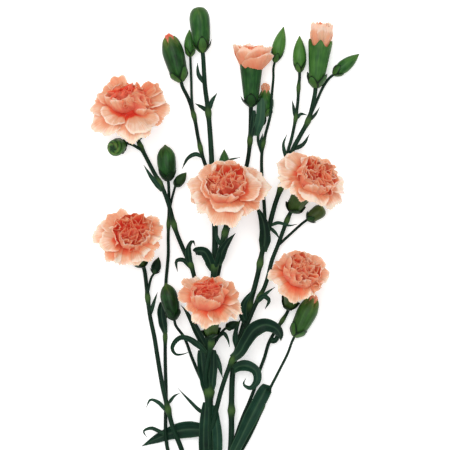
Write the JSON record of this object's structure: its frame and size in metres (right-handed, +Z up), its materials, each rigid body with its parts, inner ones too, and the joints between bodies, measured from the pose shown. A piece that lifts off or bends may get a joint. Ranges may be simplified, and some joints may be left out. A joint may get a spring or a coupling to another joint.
{
  "type": "cut spray carnation",
  "caption": "Cut stem of a spray carnation lying down, with ruffled pale coral blooms, half-open flowers, pointed and rounded green buds on thin branches, and narrow curling leaves",
  "frame": {"origin": "on the table, under the middle of the lying spray's bounding box", "axes": "+Y along the spray, from the cut end towards the flowers; +Z up from the table it lies on; +X to the right of the spray seen from above"},
  "size_m": [0.1754, 0.4105, 0.0585],
  "materials": {
    "petal": "soft, thin and ruffled, paler at the margins",
    "petal_tip": "soft, furled",
    "calyx": "smooth, faintly ribbed",
    "bud": "smooth, faintly ribbed",
    "leaf": "waxy, blue-green",
    "stem": "waxy, satin"
  },
  "bodies": {
    "root": {"bloom_left_lower_calyx": "calyx", "bloom_left_lower_petals": "petal", "bloom_left_upper_calyx": "calyx", "bloom_left_upper_petals": "petal", "bloom_middle_calyx": "calyx", "bloom_middle_lower_calyx": "calyx", "bloom_middle_lower_petals": "petal", "bloom_middle_petals": "petal", "bloom_right_lower_calyx": "calyx", "bloom_right_lower_petals": "petal", "bloom_right_upper_calyx": "calyx", "bloom_right_upper_petals": "petal", "bud_behind_middle": "bud", "bud_centre_pointed": "bud", "bud_facing": "bud", "bud_left_middle": "bud", "bud_left_pointed": "bud", "bud_left_upper": "bud", "bud_right_far": "bud", "bud_right_middle": "bud", "bud_right_pointed": "bud", "bud_showing_centre": "bud", "bud_showing_centre_petals": "petal_tip", "bud_showing_left": "bud", "bud_showing_left_petals": "petal_tip", "bud_showing_right": "bud", "bud_showing_right_petals": "petal_tip", "bud_top": "bud", "centre_top_stalk": "stem", "half_open_centre_calyx": "calyx", "half_open_centre_petals": "petal", "half_open_right_calyx": "calyx", "half_open_right_petals": "petal", "leaf_beside_fork": "leaf", "leaf_left_folded": "leaf", "leaf_lower_left": "leaf", "leaf_lower_right": "leaf", "leaf_middle_left": "leaf", "leaf_right_arch": "leaf", "leaf_right_hugging": "leaf", "leaf_right_rolled": "leaf", "leaf_ring": "leaf", "leaf_up_left": "leaf", "left_bud_stalk": "stem", "left_lower_branch": "stem", "left_thin_branch": "stem", "left_top_stalk": "stem", "left_upper_branch": "stem", "main_stem": "stem", "middle_lower_stalk": "stem", "middle_stalk": "stem", "right_branch": "stem", "right_fork": "stem", "right_lower_branch": "stem", "right_second_branch": "stem", "right_thin_branch": "stem"}
  },
  "joints": []
}
